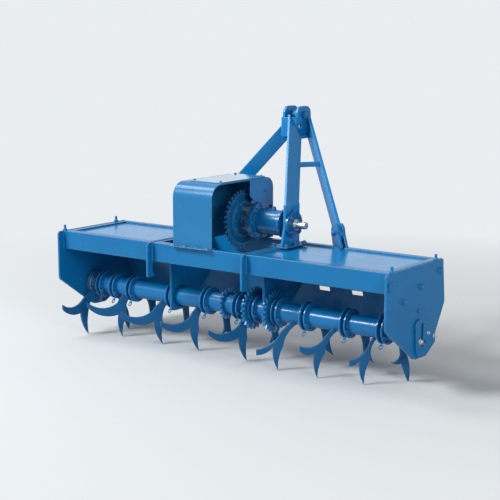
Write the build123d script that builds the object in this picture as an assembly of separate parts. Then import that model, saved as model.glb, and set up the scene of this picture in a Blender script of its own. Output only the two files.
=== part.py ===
from build123d import *
import os
from math import cos, sin, radians, pi

# A three-point rotary tiller, parked on its tine tips. Millimetres and degrees.
# While it is modelled, x runs across the machine with 0 at the middle of its width, y runs from the
# end plates' near edge towards the tractor and z is up from the ground. The export centres it in y.

# ---- driving dimensions ----
overall_width = 2000          # over the end plates' outer faces
deck_depth = 506              # end plate at deck level, near edge to far edge
end_plate_thickness = 10
hanger_thickness = 10
hanger_left_x = -377          # middle plane of each inner plate
hanger_right_x = 210

tine_reach = 288              # rotor axis to tine tip
stance_angle = 24             # a tip's lean from straight down, seen along the axis
rotor_setback = 256           # rotor axis from the deck's far edge
sweep_clearance = 6           # tine tips to the pans above
tube_radius = 48
journal_radius = 20
running_clearance = 0.05      # radial, a journal in its bearing

sheet_thickness = 8           # folded beam
beam_setback = 36             # beam face behind the plates' near edge
beam_height = 94
beam_flange = 44
far_rail_depth = 32
far_rail_height = 90
far_rail_wall = 5
pan_thickness = 4
end_rail_width = 40
hanger_rail_width = 26

# end and inner plates: drops are below the deck top, the rest is from the rotor axis
near_edge_drop = 252
lobe_below = 124
lobe_near_offset = 2
lobe_far_offset = 95
step_inset = 70               # step in the far edge, in from the deck's far edge
step_low_below = 73
step_high_below = 45
heel_overhang = 21
heel_drop = 205
tube_hole_clearance = 6
near_corner_radius = 18       # the plates' upper near corner
near_heel_radius = 30
lobe_near_radius = 60
lobe_far_radius = 50
step_radius = 6
heel_radius = 25
far_corner_radius = 5
hanger_near_drop = 170
hanger_lobe_below = 70
hanger_lobe_offset = 66
hanger_strip = 36             # what is left in front of its window
hanger_ring_width = 22        # round the tube's hole
window_top_gap = 10           # the window's upper edge below the beam
window_heel_rise = 20         # its near lower corner above the plate's
window_radii = (6, 30, 16, 8, 6)

# curved apron behind the rotor, hung from the far rail
apron_radius = 296            # inside, about the rotor axis
apron_thickness = 3
apron_below = 66              # its lower edge, from the rotor axis
apron_lip = 13                # how far it reaches under the rail
apron_end_gaps = (6, 60)      # clear of the left and of the right end plate
window_x = (325, 517)         # middles of its two windows
window_length = 62
window_above = (66, 88)       # their lower and upper edges, from the rotor axis

# guard over the drive disc
hood_left_x = -235
hood_right_x = 6
hood_height = 311             # above the deck
hood_sheet = 5
hood_front_radius = 75
hood_rear_radius = 55
hood_rear_overhang = 30       # past the far rail
hood_foot = 25
cheek_near_y = 345            # side cheek at the guard's right: it closes only the far upper corner
cheek_notch_y = 430
cheek_near_depth = 85
cheek_far_depth = 145
top_plate_margin = 45
top_plate_thickness = 6

# input shaft
input_setback = 141           # axis from the deck's far edge
input_z_above_deck = 107
shaft_radius = 22
stub_radius = 17.45
stub_length = 50
housing_flange_radius = 92
housing_flange_thickness = 24
housing_radius = 63
housing_length = 150
housing_neck_radius = 42
housing_neck_length = 26
housing_end_radius = 70
housing_end_thickness = 14
bearing_flange_radius = 65
bearing_flange_thickness = 14
disc_teeth = 34
sprocket_teeth = 17           # chain wheel below the disc
coupling_teeth = 24
chain_pitch = 25.4
tooth_height = 18
disc_rim = 24
sprocket_rim = 16
disc_thickness = 10
disc_x = -60                  # middle plane of the disc and of the sprocket below it
wheel_recess = 2.5            # depth of each face's recess between hub and rim
hub_radius = 40
hub_length = 22
hub_web = 12                  # flat ring round a wheel's bore
collar_gap = 0.5              # shaft collar clear of the bearing flange
shaft_collar_thickness = 10
shaft_collar_height = 7
shoulder_length = 6

# mast and hitch
mast_plate_thickness = 12
mast_plate_width = 120
mast_plate_toe = 26           # how far its foot reaches past its near edge
mast_plate_top = 206          # above the deck
mast_plate_x = 241            # middle plane
mast_step_radius = 40         # where its near edge turns out to its toe
base_plate_thickness = 6
base_plate_left = 66          # from the mast plate's middle plane
base_plate_right = 34
base_plate_length = 184
clevis_gap = 64
clevis_plate_thickness = 14
clevis_width = 120
clevis_height = 156
clevis_y = 750
clevis_top_z = 1224           # overall height
clevis_top_radius = 40
clevis_heel_radius = 10
bridge_thickness = 12
bridge_height = 100
clevis_floor_thickness = 10
top_link_drop = 102           # hole below the clevis top
top_link_setback = 34         # hole nearer than the clevis middle, clear of the struts
top_link_radius = 12.9
spacer_drop = 45
spacer_wall = 9
bolt_radius = 12.5
bolt_head_height = 12
bolt_nut_height = 14
bolt_head_overhang = 8        # head and nut, past the shank all round
strut_foot_x = 455            # where its middle line would meet the deck
strut_width = 97              # level cut
strut_thickness = 16
strut_foot_height = 62        # pivot above the deck
foot_radius = 46
foot_thickness = 12
foot_length = 88              # from the pivot to the toe on the far rail
foot_pin_radius = 10
strut_drop = 90               # its middle line meets the clevis here
strut_setforward = 35
brace_width = 110
brace_top_x = 38
tie_share = 0.486             # height of the tie along the brace
tie_thickness = 8
tie_height = 26
lower_pin_spread = 825        # between the lugs' outer faces
lower_pin_drop = 57           # below the deck, which puts the top link hole 610 above the pins
lower_pin_radius = 14.2
lower_pin_length = 92
pin_shank_radius = 12
pin_nut_height = 16
pin_nut_overhang = 9
lug_thickness = 16
lug_radius = 36
lug_corner_radius = 30
lug_heel_radius = 20
lug_reach = 62                # pin axis behind the far rail
lug_clearance = 4             # lug top below the deck

# skid plates: places are from the rotor axis
skid_thickness = 10
skid_near_above = 48
skid_top_above = 60
skid_far_above = 6
skid_peak_offset = 40
skid_margin = 4               # its lower edge inside the end plate's
skid_lobe_radius = 46
skid_corner_radius = 20
slot_offset = 56
slot_above = 1
slot_length = 78
slot_width = 30

# rotor: tube, axles and bearings
bearing_length = 25
bearing_radius = 68
tube_wall = 7
tube_end_gap = 2
axle_flange_radius = 60
axle_flange_thickness = 8
coupling_offsets = (-108, 18)  # its two wheels, from the right inner plate

# tines: one row per station along the rotor. A near blade is a flat fork in an upright plane:
# an arm leaves the tube, a hook goes on outwards and a leg turns down to the ground
# columns: bay, place as a share of the bay's length, yaw of the far and of the near blade, then how
# far out lie the near blade's knee, crotch, leg tip and hook tip, and the hook tip's drop
stations = [
    ("left", 0.156, 75, 78, 140, 146, 100, 258, 84),
    ("left", 0.510, 75, 45, 82, 77, 55, 241, 69),
    ("left", 0.962, 90, 45, 98, 95, 50, 266, 85),
    ("middle", 0.336, 75, 50, 82, 84, 40, 236, 98),
    ("middle", 0.861, 75, 64, 84, 86, 42, 250, 84),
    ("right", 0.277, 75, 45, 120, 153, 130, 236, 158),
    ("right", 0.568, 75, 45, 105, 141, 129, 215, 106),
    ("right", 0.826, 75, 45, 60, 98, 80, 150, 148),
]
bare_collars = [("left", 0.313), ("middle", 0.688), ("right", 0.061)]
blade_thickness = 10
blade_setoff = 25             # near blade's root, left of its station
collar_radius = 70
collar_thickness = 7
knee_drop = 80                # where the arm's upper edge turns into the hook's
crotch_drop = 143
arm_width = 47
hook_end = 26                 # a hook's blunt end
hook_sag = 0.2                # dip of the hook's upper edge, as a share of its length
hook_belly_sag = 0.17         # the same for its lower edge
leg_bulge = 12
far_reach = 102               # outer edge of a far blade, farthest out
far_reach_drop = 80
far_throat_drop = 130         # where its edges turn into spike and hook
far_width = 36
far_spike = (128, 208, -4)    # how far out and down its tip lies, and its edge's bulge
far_spike_hook = (48, 180)
far_leg_out = 119             # the first and last far blade stand on the ground
far_leg_hook = (4, 152)
far_crotch_drop = 167

# ---- derived places ----
rotor_y = deck_depth - rotor_setback
rotor_z = tine_reach * cos(radians(stance_angle))
pan_low_z = rotor_z + tine_reach + sweep_clearance
pan_top_z = pan_low_z + pan_thickness
deck_z = pan_top_z + sheet_thickness
plate_outer_x = overall_width / 2
plate_inner_x = plate_outer_x - end_plate_thickness
far_rail_y = deck_depth - far_rail_depth
beam_inner_y = beam_setback + sheet_thickness
input_y = deck_depth - input_setback
input_z = deck_z + input_z_above_deck
axis_drop = deck_z - rotor_z
rail_low_z = deck_z - far_rail_height
apron_outer = apron_radius + apron_thickness
apron_top_y = rotor_y + (apron_outer ** 2 - (rail_low_z - rotor_z) ** 2) ** 0.5
lower_pin_z = deck_z - lower_pin_drop
lower_pin_y = deck_depth + lug_reach
clevis_far_y = clevis_y + clevis_width / 2
clevis_near_y = clevis_y - clevis_width / 2
clevis_bottom_z = clevis_top_z - clevis_height
bridge_near_y = clevis_near_y - bridge_thickness
top_link_y = clevis_y - top_link_setback
top_link_z = clevis_top_z - top_link_drop
spacer_z = clevis_top_z - spacer_drop
clevis_inner_x = clevis_gap / 2
clevis_outer_x = clevis_inner_x + clevis_plate_thickness
origin_y = clevis_far_y / 2

parts = {}


def keep(name, *solids):
    """Store the solids of one node under its name."""
    parts.setdefault(name, []).extend(solids)


def block(x, y, z):
    """A box from three (low, high) pairs."""
    size = [high - low for low, high in (x, y, z)]
    centre = [(high + low) / 2 for low, high in (x, y, z)]
    return Pos(*centre) * Box(*size)


def side_plate(x_low, thickness, corners, radii):
    """A plate across the machine: its outline in (y, z), extruded towards +x."""
    outline = make_face(FilletPolyline(*corners, radius=radii, close=True))
    return extrude(Plane.YZ.offset(x_low) * outline, thickness)


def disc(x_low, thickness, radius, y, z):
    """A round plate or bar whose axis runs along x."""
    return extrude(Plane.YZ.offset(x_low) * Pos(y, z) * Circle(radius), thickness)


def slanted_bar(section_x, section_y, low, high):
    """A flat bar with level ends, its middle line running from low to high."""
    run = Vector(*high) - Vector(*low)
    return extrude(Pos(*low) * Rectangle(section_x, section_y), run.length, dir=run.normalized())


# ---- end plates and inner plates ----
def side_outline(corners):
    """Split rows of y, drop below the deck top and corner radius into points and radii."""
    return [(y, deck_z - drop) for y, drop, _ in corners], [radius for _, _, radius in corners]


end_outline = side_outline([
    (0, 0, near_corner_radius),
    (0, near_edge_drop, near_heel_radius),
    (rotor_y + lobe_near_offset, axis_drop + lobe_below, lobe_near_radius),
    (rotor_y + lobe_far_offset, axis_drop + lobe_below, lobe_far_radius),
    (deck_depth - step_inset, axis_drop + step_low_below, step_radius),
    (deck_depth - step_inset, axis_drop + step_high_below, step_radius),
    (deck_depth + heel_overhang, heel_drop, heel_radius),
    (deck_depth, 0, far_corner_radius),
])
keep("end_plate_left", side_plate(-plate_outer_x, end_plate_thickness, *end_outline))
keep("end_plate_right", side_plate(plate_inner_x, end_plate_thickness, *end_outline))

hanger_outline = side_outline([
    (0, 0, near_corner_radius),
    (0, hanger_near_drop, near_heel_radius),
    (rotor_y - hanger_lobe_offset, axis_drop + hanger_lobe_below, lobe_far_radius),
    (rotor_y + hanger_lobe_offset, axis_drop + hanger_lobe_below, lobe_far_radius),
    (deck_depth, heel_drop, heel_radius),
    (deck_depth, 0, far_corner_radius),
])
hole_radius = tube_radius + tube_hole_clearance
window_far_y = rotor_y - hole_radius - hanger_ring_width
window_top_drop = beam_height + window_top_gap
hanger_window = side_outline([
    (hanger_strip, window_top_drop, window_radii[0]),
    (hanger_strip, hanger_near_drop - window_heel_rise, window_radii[1]),
    (window_far_y - hanger_strip, near_edge_drop, window_radii[2]),
    (window_far_y, near_edge_drop + window_top_gap, window_radii[3]),
    (window_far_y, window_top_drop, window_radii[4]),
])
for name, middle_x in (("hanger_left", hanger_left_x), ("hanger_right", hanger_right_x)):
    low_x = middle_x - hanger_thickness / 2
    plate = side_plate(low_x, hanger_thickness, *hanger_outline)
    window = side_plate(low_x, hanger_thickness, *hanger_window)
    plate -= window - disc(low_x, hanger_thickness, hole_radius + hanger_ring_width, rotor_y, rotor_z)
    # below the rail it ends inside the apron
    above_rail = block((low_x, low_x + hanger_thickness), (0, deck_depth), (rail_low_z, deck_z))
    plate &= above_rail + disc(low_x, hanger_thickness, apron_radius, rotor_y, rotor_z) + block(
        (low_x, low_x + hanger_thickness), (0, rotor_y), (rotor_z - apron_radius, deck_z))
    keep(name, plate - disc(low_x, hanger_thickness, hole_radius, rotor_y, rotor_z))

# ---- deck: beam, far rail, pans and flat rails in three bays ----
half_hanger = hanger_thickness / 2
apron_x = (apron_end_gaps[0] - plate_inner_x, plate_inner_x - apron_end_gaps[1])
apron_length = apron_x[1] - apron_x[0]
lip_y = (min(apron_top_y - apron_thickness, far_rail_y), max(apron_top_y, far_rail_y + apron_lip))
bays = {
    "left": (-plate_inner_x, hanger_left_x - half_hanger),
    "middle": (hanger_left_x + half_hanger, hanger_right_x - half_hanger),
    "right": (hanger_right_x + half_hanger, plate_inner_x),
}
far_rail = []
for bay, (x0, x1) in bays.items():
    web = block((x0, x1), (beam_setback, beam_inner_y), (deck_z - beam_height, deck_z))
    flange = block((x0, x1), (beam_inner_y, beam_setback + beam_flange), (pan_top_z, deck_z))
    keep("near_beam", web + flange)
    rail_z = (rail_low_z, deck_z)
    tube = block((x0, x1), (far_rail_y, deck_depth), rail_z)
    hollow = block((x0, x1), (far_rail_y + far_rail_wall, deck_depth - far_rail_wall),
                   (rail_z[0] + far_rail_wall, rail_z[1] - far_rail_wall))
    lip = block((max(x0, apron_x[0]), min(x1, apron_x[1])), lip_y,
                (rail_low_z - apron_thickness, rail_low_z))
    far_rail.append(tube - hollow + lip)
    if bay != "middle":
        keep("pan_" + bay, block((x0, x1), (beam_inner_y, far_rail_y), (pan_low_z, pan_top_z)))
    left_rail = end_rail_width if bay == "left" else hanger_rail_width
    right_rail = end_rail_width if bay == "right" else hanger_rail_width
    rail_y = (beam_setback + beam_flange, far_rail_y)
    keep("deck_rails",
         block((x0, x0 + left_rail), rail_y, (pan_top_z, deck_z)),
         block((x1 - right_rail, x1), rail_y, (pan_top_z, deck_z)))

# apron behind the rotor: a sector about its axis, hung from the rail's three spans by the lips
apron = disc(apron_x[0], apron_length, apron_outer, rotor_y, rotor_z)
apron -= disc(apron_x[0], apron_length, apron_radius, rotor_y, rotor_z)
apron &= block(apron_x, (rotor_y, rotor_y + apron_outer), (rotor_z - apron_below, rail_low_z))
for middle_x in window_x:
    apron -= block((middle_x - window_length / 2, middle_x + window_length / 2),
                   (rotor_y, rotor_y + apron_outer), [rotor_z + above for above in window_above])
for span in far_rail:
    apron += span
keep("far_rail", apron)

# ---- guard over the drive ----
hood_rear_y = deck_depth + hood_rear_overhang
hood_top_z = deck_z + hood_height


def hood_profile(inset):
    """The guard's outline in (y, z), drawn in by its sheet's thickness or not at all."""
    corners = [
        (beam_setback + inset, deck_z),
        (beam_setback + inset, hood_top_z - inset),
        (hood_rear_y - inset, hood_top_z - inset),
        (hood_rear_y - inset, deck_z),
    ]
    radii = [0, hood_front_radius - inset, hood_rear_radius - inset, 0]
    return corners, radii


hood_width = hood_right_x - hood_left_x
hood_outside = side_plate(hood_left_x, hood_width, *hood_profile(0))
hood_inside = side_plate(hood_left_x, hood_width, *hood_profile(hood_sheet))
front_foot = block((hood_left_x, hood_right_x),
                   (beam_setback + hood_sheet, beam_setback + hood_sheet + hood_foot),
                   (deck_z, deck_z + hood_sheet))
rear_foot = block((hood_left_x, hood_right_x),
                  (hood_rear_y - hood_rear_overhang - hood_foot, hood_rear_y - hood_sheet),
                  (deck_z, deck_z + hood_sheet))
keep("hood", hood_outside - hood_inside + front_foot + rear_foot)
left_wall = side_plate(hood_left_x, hood_sheet, *hood_profile(hood_sheet))
keep("hood_left_wall", left_wall - front_foot - rear_foot)

cheek_corners = [
    (cheek_near_y, hood_top_z - hood_sheet),
    (hood_rear_y - hood_sheet, hood_top_z - hood_sheet),
    (hood_rear_y - hood_sheet, hood_top_z - cheek_far_depth),
    (cheek_notch_y, hood_top_z - cheek_far_depth),
    (cheek_near_y, hood_top_z - cheek_near_depth),
]
cheek_radii = [0, hood_rear_radius - hood_sheet, 1.6 * hood_sheet, 5 * hood_sheet, 4 * hood_sheet]
keep("hood_cheek", side_plate(hood_right_x - hood_sheet, hood_sheet, cheek_corners, cheek_radii))
keep("hood_top_plate", block((hood_left_x + top_plate_margin, hood_right_x - top_plate_thickness),
                             (beam_setback + hood_front_radius + top_plate_thickness,
                              hood_rear_y - hood_rear_radius - top_plate_thickness),
                             (hood_top_z, hood_top_z + top_plate_thickness)))

# ---- mast plate, shaft housing and input shaft ----
mast_low_x = mast_plate_x - mast_plate_thickness / 2
mast_high_x = mast_plate_x + mast_plate_thickness / 2
base_top_z = deck_z + base_plate_thickness
mast_top_z = deck_z + mast_plate_top
keep("mast_base_plate", block((mast_plate_x - base_plate_left, mast_plate_x + base_plate_right),
                              (input_y - base_plate_length / 2, input_y + base_plate_length / 2),
                              (deck_z, base_top_z)))
mast_near_y = input_y - mast_plate_width / 2
mast_corners = [
    (mast_near_y - mast_plate_toe, base_top_z),
    (input_y + mast_plate_width / 2, base_top_z),
    (input_y + mast_plate_width / 2, mast_top_z),
    (mast_near_y, mast_top_z),
    (mast_near_y, input_z),
]
mast_plate = side_plate(mast_low_x, mast_plate_thickness, mast_corners, [0, 0, 0, 0, mast_step_radius])
shaft_bore = disc(mast_low_x, mast_plate_thickness, shaft_radius + running_clearance, input_y, input_z)
keep("mast_plate", mast_plate - shaft_bore)

flange_x = mast_low_x - housing_neck_length - housing_length - housing_flange_thickness
housing = disc(flange_x, housing_flange_thickness, housing_flange_radius, input_y, input_z)
housing += disc(flange_x + housing_flange_thickness, housing_length, housing_radius, input_y, input_z)
neck_x = flange_x + housing_flange_thickness + housing_length
housing += disc(neck_x - housing_end_thickness, housing_end_thickness, housing_end_radius,
                input_y, input_z)
housing += disc(neck_x, mast_low_x - neck_x, housing_neck_radius, input_y, input_z)
housing -= disc(flange_x, mast_low_x - flange_x, shaft_radius + running_clearance, input_y, input_z)
keep("shaft_housing", housing)

bearing = disc(mast_high_x, bearing_flange_thickness, bearing_flange_radius, input_y, input_z)
bearing -= disc(mast_high_x, bearing_flange_thickness, shaft_radius + running_clearance,
                input_y, input_z)
keep("shaft_bearing_flange", bearing)

shaft_left_x = disc_x - 3 * disc_thickness
bearing_face_x = mast_high_x + bearing_flange_thickness
collar_x = bearing_face_x + collar_gap
shoulder_x = collar_x + shaft_collar_thickness
stub_x = shoulder_x + shoulder_length
shaft = disc(shaft_left_x, collar_x - shaft_left_x, shaft_radius, input_y, input_z)
shaft += disc(collar_x, shaft_collar_thickness, shaft_radius + shaft_collar_height, input_y, input_z)
shaft += disc(shoulder_x, shoulder_length, shaft_radius, input_y, input_z)
shaft += disc(stub_x, stub_length, stub_radius, input_y, input_z)


def toothed_face(teeth):
    """Outline of a chain wheel: straight-flanked teeth on the pitch circle."""
    pitch_radius = chain_pitch / (2 * sin(pi / teeth))
    root_radius = pitch_radius - tooth_height / 2
    tip_radius = pitch_radius + tooth_height / 2
    points = []
    for tooth in range(teeth):
        middle = 2 * pi * tooth / teeth
        for radius, turn in ((root_radius, -0.36), (tip_radius, -0.12),
                             (tip_radius, 0.12), (root_radius, 0.36)):
            angle = middle + turn * 2 * pi / teeth
            points.append((radius * cos(angle), radius * sin(angle)))
    return make_face(Polyline(*points, close=True)), root_radius


def toothed_wheel(teeth, middle_x, y, z, bore, rim):
    """A chain wheel with a web thinner than its rim."""
    face, root_radius = toothed_face(teeth)
    wheel = extrude(Plane.YZ.offset(middle_x - disc_thickness / 2) * Pos(y, z) * face, disc_thickness)
    recess = Circle(root_radius - rim) - Circle(bore + hub_web)
    for x_low in (middle_x - disc_thickness / 2, middle_x + disc_thickness / 2 - wheel_recess):
        wheel -= extrude(Plane.YZ.offset(x_low) * Pos(y, z) * recess, wheel_recess)
    return wheel - disc(middle_x - disc_thickness / 2, disc_thickness, bore, y, z)


keep("input_shaft", shaft)
disc_hub = disc(disc_x + disc_thickness / 2, hub_length, hub_radius, input_y, input_z)
disc_hub -= disc(disc_x + disc_thickness / 2, hub_length, shaft_radius, input_y, input_z)
drive_disc = toothed_wheel(disc_teeth, disc_x, input_y, input_z, shaft_radius, disc_rim)
keep("drive_disc", drive_disc + disc_hub)

# ---- mast: clevis, braces and hitch ----
for low_x in (-clevis_outer_x, clevis_inner_x):
    corners = [(clevis_near_y, clevis_bottom_z), (clevis_far_y, clevis_bottom_z),
               (clevis_far_y, clevis_top_z), (clevis_near_y, clevis_top_z)]
    radii = [clevis_heel_radius, clevis_heel_radius, clevis_top_radius, clevis_top_radius]
    plate = side_plate(low_x, clevis_plate_thickness, corners, radii)
    plate -= disc(low_x, clevis_plate_thickness, top_link_radius, top_link_y, top_link_z)
    plate -= disc(low_x, clevis_plate_thickness, bolt_radius, clevis_y, spacer_z)
    keep("clevis_plates", plate)
keep("clevis_bridge", block((-clevis_outer_x, clevis_outer_x), (bridge_near_y, clevis_near_y),
                            (clevis_bottom_z, clevis_bottom_z + bridge_height)))
keep("clevis_floor", block((-clevis_outer_x, clevis_outer_x), (clevis_near_y, clevis_far_y),
                           (clevis_bottom_z - clevis_floor_thickness, clevis_bottom_z)))
spacer = disc(-clevis_inner_x, clevis_gap, bolt_radius + spacer_wall, clevis_y, spacer_z)
spacer -= disc(-clevis_inner_x, clevis_gap, bolt_radius, clevis_y, spacer_z)
keep("clevis_spacer", spacer)
head_radius = bolt_radius + bolt_head_overhang
bolt = disc(-clevis_outer_x, 2 * clevis_outer_x, bolt_radius, clevis_y, spacer_z)
bolt += disc(-clevis_outer_x - bolt_head_height, bolt_head_height, head_radius, clevis_y, spacer_z)
bolt += disc(clevis_outer_x, bolt_nut_height, head_radius, clevis_y, spacer_z)
keep("clevis_bolt", bolt)

brace_low = Vector(mast_plate_x, input_y, mast_top_z)
brace_high = Vector(brace_top_x, bridge_near_y, top_link_z)
brace_run = brace_high - brace_low
brace = slanted_bar(mast_plate_thickness, brace_width, brace_low, brace_low + brace_run * 1.3)
brace &= block((-plate_outer_x, plate_outer_x), (0, bridge_near_y), (mast_top_z, clevis_top_z))
keep("mast_brace", brace)

# each strut is a flat bar that stands in the upright plane through its run, on a forked foot
strut_y = deck_depth - far_rail_depth / 2
foot_z = deck_z + strut_foot_height
for side, name in ((-1, "strut_left"), (1, "strut_right")):
    strut_low = Vector(side * strut_foot_x, strut_y, deck_z)
    strut_high = Vector(side * clevis_outer_x, clevis_y + strut_setforward, clevis_top_z - strut_drop)
    strut_run = strut_high - strut_low
    level_run = Vector(strut_run.X, strut_run.Y, 0).normalized()
    upright = Plane(origin=strut_low, x_dir=level_run, z_dir=level_run.cross(Vector(0, 0, 1)))
    length, rise = (strut_run.X ** 2 + strut_run.Y ** 2) ** 0.5, strut_run.Z
    reach = 1.15
    half = strut_width / 2
    bar = make_face(Polyline((-half, 0), (half, 0), (half + reach * length, reach * rise),
                             (-half + reach * length, reach * rise), close=True))
    strut = extrude(upright * bar, strut_thickness / 2, both=True)
    pivot = (strut_foot_height / rise * length, strut_foot_height)
    rounded = extrude(upright * Pos(*pivot) * Circle(half), strut_thickness / 2, both=True)
    outside = sorted((side * clevis_outer_x, side * plate_outer_x))
    strut &= block(outside, (0, clevis_far_y), (foot_z, clevis_top_z))
    strut += rounded & block(outside, (0, clevis_far_y), (deck_z, foot_z))
    strut -= extrude(upright * Pos(*pivot) * Circle(foot_pin_radius), strut_thickness / 2, both=True)
    keep(name, strut)
    foot = Pos(*pivot) * Circle(foot_radius)
    foot += make_face(Polyline((pivot[0] - foot_length, 0), (pivot[0] + foot_radius / 2, 0),
                               (pivot[0] + foot_radius, pivot[1]),
                               (pivot[0] - foot_radius, pivot[1]), close=True))
    fork = extrude(upright * foot, strut_thickness / 2 + foot_thickness, both=True)
    fork -= extrude(upright * foot, strut_thickness / 2, both=True)
    pin = extrude(upright * Pos(*pivot) * Circle(foot_pin_radius),
                  strut_thickness / 2 + foot_thickness, both=True)
    keep("hitch_lugs", fork + pin)

# a level tie from the brace's far edge square onto the right strut
tie_start = brace_low + brace_run * tie_share + Vector(0, brace_width / 2, 0)
strut_normal = Vector(-level_run.Y, level_run.X, 0) * (1 if level_run.X > 0 else -1)
tie_length = (strut_low - tie_start).dot(strut_normal) - strut_thickness / 2
tie_plane = Plane(origin=tie_start - strut_normal * tie_height, x_dir=(0, 0, 1), z_dir=strut_normal)
tie = extrude(tie_plane * Rectangle(tie_height, tie_thickness), tie_length + tie_height)
brace_far_face = Plane(origin=tie_start, z_dir=(0, brace_run.Z, -brace_run.Y))
keep("mast_tie", split(tie, bisect_by=brace_far_face, keep=Keep.TOP))

lug_x = lower_pin_spread / 2
lug_corners = [
    (deck_depth, rail_low_z),
    (lower_pin_y, lower_pin_z - lug_radius),
    (lower_pin_y + lug_radius, lower_pin_z - lug_radius),
    (lower_pin_y + lug_radius, lower_pin_z + lug_radius),
    (deck_depth, deck_z - lug_clearance),
]
for side in (-1, 1):
    low_x = lug_x - lug_thickness if side > 0 else -lug_x
    lug = side_plate(low_x, lug_thickness, lug_corners,
                     [0, lug_heel_radius, lug_corner_radius, lug_corner_radius, 0])
    keep("hitch_lugs", lug - disc(low_x, lug_thickness, pin_shank_radius, lower_pin_y, lower_pin_z))
inner_x = lug_x - lug_thickness
hitch_pin = disc(inner_x, lug_thickness, pin_shank_radius, lower_pin_y, lower_pin_z)
hitch_pin += disc(lug_x, lower_pin_length, lower_pin_radius, lower_pin_y, lower_pin_z)
hitch_pin += disc(inner_x - pin_nut_height, pin_nut_height, lower_pin_radius + pin_nut_overhang,
                  lower_pin_y, lower_pin_z)
keep("hitch_pins", hitch_pin, mirror(hitch_pin, about=Plane.YZ))

# ---- skid plates outside the end plates' lobes ----
step_y = deck_depth - step_inset
skid_far_y = step_y - 2 * skid_margin
skid_low_z = rotor_z - lobe_below + skid_margin
skid_corners = [
    (rotor_y - skid_margin, rotor_z + skid_near_above),
    (rotor_y + skid_peak_offset, rotor_z + skid_top_above),
    (skid_far_y, rotor_z + skid_far_above),
    (skid_far_y, rotor_z - step_low_below + skid_margin),
    (rotor_y + lobe_far_offset, skid_low_z),
    (rotor_y + lobe_near_offset + 2 * skid_margin, skid_low_z),
]
skid_radii = [skid_corner_radius] * 3 + [2 * skid_margin] + [skid_lobe_radius] * 2
slot_y = rotor_y + slot_offset
slot_z = rotor_z + slot_above
for low_x in (-plate_outer_x - skid_thickness, plate_outer_x):
    slot = Plane.YZ.offset(low_x) * Pos(slot_y, slot_z) * SlotOverall(slot_length, slot_width, rotation=90)
    skid = side_plate(low_x, skid_thickness, skid_corners, skid_radii)
    keep("skid_plates", skid - extrude(slot, skid_thickness))

# ---- rotor bearings ----
for low_x in (-plate_inner_x, plate_inner_x - bearing_length):
    ring = disc(low_x, bearing_length, bearing_radius, rotor_y, rotor_z)
    ring -= disc(low_x, bearing_length, journal_radius + running_clearance, rotor_y, rotor_z)
    keep("rotor_bearings", ring)

# ---- rotor ----
tube_end_x = plate_inner_x - bearing_length - tube_end_gap - axle_flange_thickness
tube = disc(-tube_end_x, 2 * tube_end_x, tube_radius, rotor_y, rotor_z)
tube -= disc(-tube_end_x, 2 * tube_end_x, tube_radius - tube_wall, rotor_y, rotor_z)
keep("rotor_tube", tube)
axle = disc(tube_end_x, axle_flange_thickness, axle_flange_radius, rotor_y, rotor_z)
axle += disc(tube_end_x + axle_flange_thickness, bearing_length, journal_radius, rotor_y, rotor_z)
keep("stub_axles", axle, mirror(axle, about=Plane.YZ))

rotor_disc = disc(-tube_end_x, 2 * tube_end_x, tube_radius, rotor_y, rotor_z)


def upright_plane(x, yaw, side):
    """An upright plane through the rotor axis, its first axis running out towards side -1 or +1."""
    turn = radians(yaw)
    out = Vector(-cos(turn), side * sin(turn), 0)
    return Plane(origin=(x, rotor_y, rotor_z), x_dir=out, z_dir=out.cross(Vector(0, 0, 1)))


def blade(plane, edges):
    """A flat blade from a closed run of edges, cut back to the tube's face."""
    face = make_face(edges)
    return extrude(plane * face, blade_thickness / 2, both=True) - rotor_disc


def near_blade(x, yaw, knee, crotch, leg_tip, hook_tip, hook_drop):
    """A forked blade on the near side: arm, hook and leg."""
    root_high = (-0.25 * tube_radius, 0.1 * tube_radius)
    root_low = (-0.5 * tube_radius, -0.3 * tube_radius)
    knee_at = (knee, -knee_drop)
    hook_at = (hook_tip, -hook_drop)
    hook_under = (hook_tip, -hook_drop - hook_end)
    crotch_at = (crotch, -crotch_drop)
    leg_at = (leg_tip, -rotor_z)
    dip = ((knee + hook_tip) / 2, -(knee_drop + hook_drop) / 2 - hook_sag * (hook_tip - knee))
    hook_belly = ((crotch + hook_tip) / 2,
                  -(crotch_drop + hook_drop + hook_end) / 2 - hook_belly_sag * (hook_tip - crotch))
    leg_front = ((crotch + leg_tip) / 2 + leg_bulge, -(crotch_drop + rotor_z) / 2)
    leg_back_high = (crotch - arm_width, -crotch_drop)
    leg_back = ((leg_tip + leg_back_high[0]) / 2 + leg_bulge / 2, leg_front[1] + leg_bulge)
    arm_back = (0.62 * leg_back_high[0] + 6, -0.46 * crotch_drop)
    return blade(upright_plane(x, yaw, -1), [
        ThreePointArc(root_high, (0.62 * knee, -0.45 * knee_drop), knee_at),
        ThreePointArc(knee_at, dip, hook_at),
        Line(hook_at, hook_under),
        ThreePointArc(hook_under, hook_belly, crotch_at),
        ThreePointArc(crotch_at, leg_front, leg_at),
        ThreePointArc(leg_at, leg_back, leg_back_high),
        ThreePointArc(leg_back_high, arm_back, root_low),
        Line(root_low, root_high),
    ])


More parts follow.
